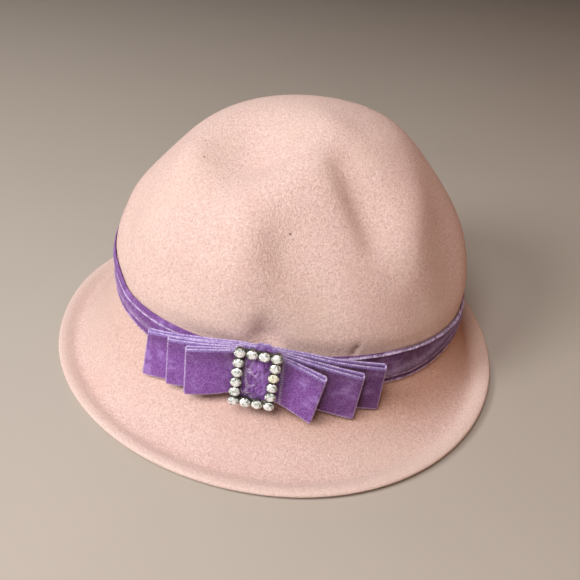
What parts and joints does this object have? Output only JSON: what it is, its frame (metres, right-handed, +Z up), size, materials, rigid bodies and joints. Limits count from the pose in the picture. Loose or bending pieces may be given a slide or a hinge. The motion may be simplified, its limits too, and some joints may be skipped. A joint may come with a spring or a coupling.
{
  "type": "cloche hat",
  "caption": "Felt cloche hat with a dented round crown, a turned-up brim edge, a velvet ribbon band and a side bow held by a stone-set slide buckle.",
  "frame": {"origin": "on the surface that the hat rests on, at the middle of the brim's outline", "axes": "+Z up through the crown, -Y towards the side with the bow, +X to the right of someone who faces the bow"},
  "size_m": [0.2617, 0.2552, 0.1428],
  "materials": {
    "felt": "matte brushed wool felt, dusty pink",
    "velvet": "cut-pile velvet ribbon, purple",
    "buckle_metal": "tarnished cast metal",
    "stone": "clear cut stones, foiled behind"
  },
  "bodies": {
    "root": {"felt_body": "felt", "ribbon_band": "velvet", "bow_loop_long": "velvet", "bow_loop_middle": "velvet", "bow_loop_short": "velvet", "centre_tab": "velvet", "buckle_frame": "buckle_metal", "stone_01": "stone", "stone_02": "stone", "stone_03": "stone", "stone_04": "stone", "stone_05": "stone", "stone_06": "stone", "stone_07": "stone", "stone_08": "stone", "stone_09": "stone", "stone_10": "stone", "stone_11": "stone", "stone_12": "stone", "stone_13": "stone", "stone_14": "stone", "stone_15": "stone", "stone_16": "stone"}
  },
  "joints": []
}
